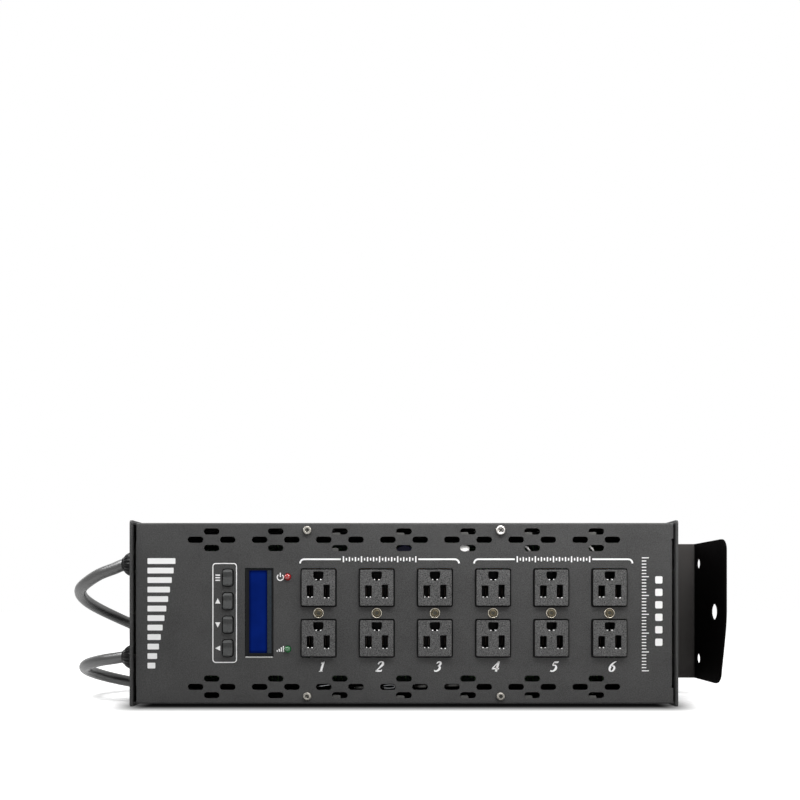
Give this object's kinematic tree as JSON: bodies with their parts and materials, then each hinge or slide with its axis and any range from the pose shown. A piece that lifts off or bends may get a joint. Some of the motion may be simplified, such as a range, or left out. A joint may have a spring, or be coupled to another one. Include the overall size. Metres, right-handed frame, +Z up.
{
  "type": "dimmer pack",
  "caption": "Stage lighting dimmer pack: black sheet steel case with outlet pairs, a display, push buttons, supply cords and a hanging bracket.",
  "frame": {"origin": "under the middle of the object's box, measured without the cords, on the surface it stands on", "axes": "+X along the case towards the bracket, +Y from the front panel to the back, +Z up"},
  "size_m": [0.5315, 0.2367, 0.1435],
  "materials": {
    "case_paint": "satin black powder coat, fine grain",
    "bracket_paint": "satin black powder coat",
    "outlet_plastic": "dark grey moulded plastic, fine grain",
    "nickel_screw": "nickel plated, dull in places",
    "zinc_screw": "bright zinc plate",
    "frame_plastic": "dark moulded plastic",
    "display": "blue, gloss",
    "board": "green lacquer",
    "button_plastic": "dark grey moulded plastic",
    "red_lamp": "clear red resin",
    "green_lamp": "clear green resin",
    "gland_plastic": "black nylon",
    "cord_rubber": "black rubber jacket",
    "plug_rubber": "black moulded rubber",
    "breaker_plastic": "black moulded plastic",
    "reset_button": "white plastic",
    "connector_metal": "satin nickel",
    "latch_plastic": "black plastic",
    "sink_aluminium": "extruded, mill finish",
    "triac_body": "black epoxy",
    "choke_core": "coated iron powder core with its winding",
    "transformer_core": "lacquered laminations"
  },
  "bodies": {
    "case": {"breaker_a": "breaker_plastic", "breaker_b": "breaker_plastic", "choke_1": "choke_core", "choke_2": "choke_core", "choke_3": "choke_core", "choke_4": "choke_core", "choke_5": "choke_core", "choke_6": "choke_core", "control_board": "board", "cord_a_coil": "cord_rubber", "cord_a_lead": "cord_rubber", "cord_b_coil": "cord_rubber", "cord_b_lead": "cord_rubber", "cord_gland_a": "gland_plastic", "cord_gland_b": "gland_plastic", "cover_screw_1": "zinc_screw", "cover_screw_2": "zinc_screw", "cover_screw_3": "zinc_screw", "cover_screw_4": "zinc_screw", "data_inlet": "connector_metal", "data_outlet": "connector_metal", "display_frame": "frame_plastic", "display_glass": "display", "front_cover": "case_paint", "heat_sink": "sink_aluminium", "left_end_plate": "case_paint", "mounting_bracket": "bracket_paint", "outlet_1": "outlet_plastic", "outlet_2": "outlet_plastic", "outlet_3": "outlet_plastic", "outlet_4": "outlet_plastic", "outlet_5": "outlet_plastic", "outlet_6": "outlet_plastic", "outlet_screw_1": "nickel_screw", "outlet_screw_2": "nickel_screw", "outlet_screw_3": "nickel_screw", "outlet_screw_4": "nickel_screw", "outlet_screw_5": "nickel_screw", "outlet_screw_6": "nickel_screw", "plug_a": "plug_rubber", "plug_b": "plug_rubber", "power_board": "board", "power_led": "red_lamp", "rear_chassis": "case_paint", "right_end_plate": "case_paint", "signal_led": "green_lamp", "transformer": "transformer_core", "triac_1": "triac_body", "triac_2": "triac_body", "triac_3": "triac_body", "triac_4": "triac_body", "triac_5": "triac_body", "triac_6": "triac_body"},
    "menu_button": {"button_menu": "button_plastic"},
    "up_button": {"button_up": "button_plastic"},
    "down_button": {"button_down": "button_plastic"},
    "back_button": {"button_back": "button_plastic"},
    "reset_a": {"breaker_button_a": "reset_button"},
    "reset_b": {"breaker_button_b": "reset_button"},
    "latch": {"data_latch": "latch_plastic"}
  },
  "joints": [
    {"name": "menu_button_press", "type": "slide", "parent": "case", "child": "menu_button", "axis": [0, 1, 0], "range_m": [0, 0.0008], "stiffness_N_per_m": 500},
    {"name": "up_button_press", "type": "slide", "parent": "case", "child": "up_button", "axis": [0, 1, 0], "range_m": [0, 0.0008], "stiffness_N_per_m": 500},
    {"name": "down_button_press", "type": "slide", "parent": "case", "child": "down_button", "axis": [0, 1, 0], "range_m": [0, 0.0008], "stiffness_N_per_m": 500},
    {"name": "back_button_press", "type": "slide", "parent": "case", "child": "back_button", "axis": [0, 1, 0], "range_m": [0, 0.0008], "stiffness_N_per_m": 500},
    {"name": "reset_a_trip", "type": "slide", "parent": "case", "child": "reset_a", "axis": [-1, 0, 0], "range_m": [0, 0.004]},
    {"name": "reset_b_trip", "type": "slide", "parent": "case", "child": "reset_b", "axis": [-1, 0, 0], "range_m": [0, 0.004]},
    {"name": "latch_press", "type": "slide", "parent": "case", "child": "latch", "axis": [1, 0, 0], "range_m": [0, 0.0015], "stiffness_N_per_m": 500}
  ]
}
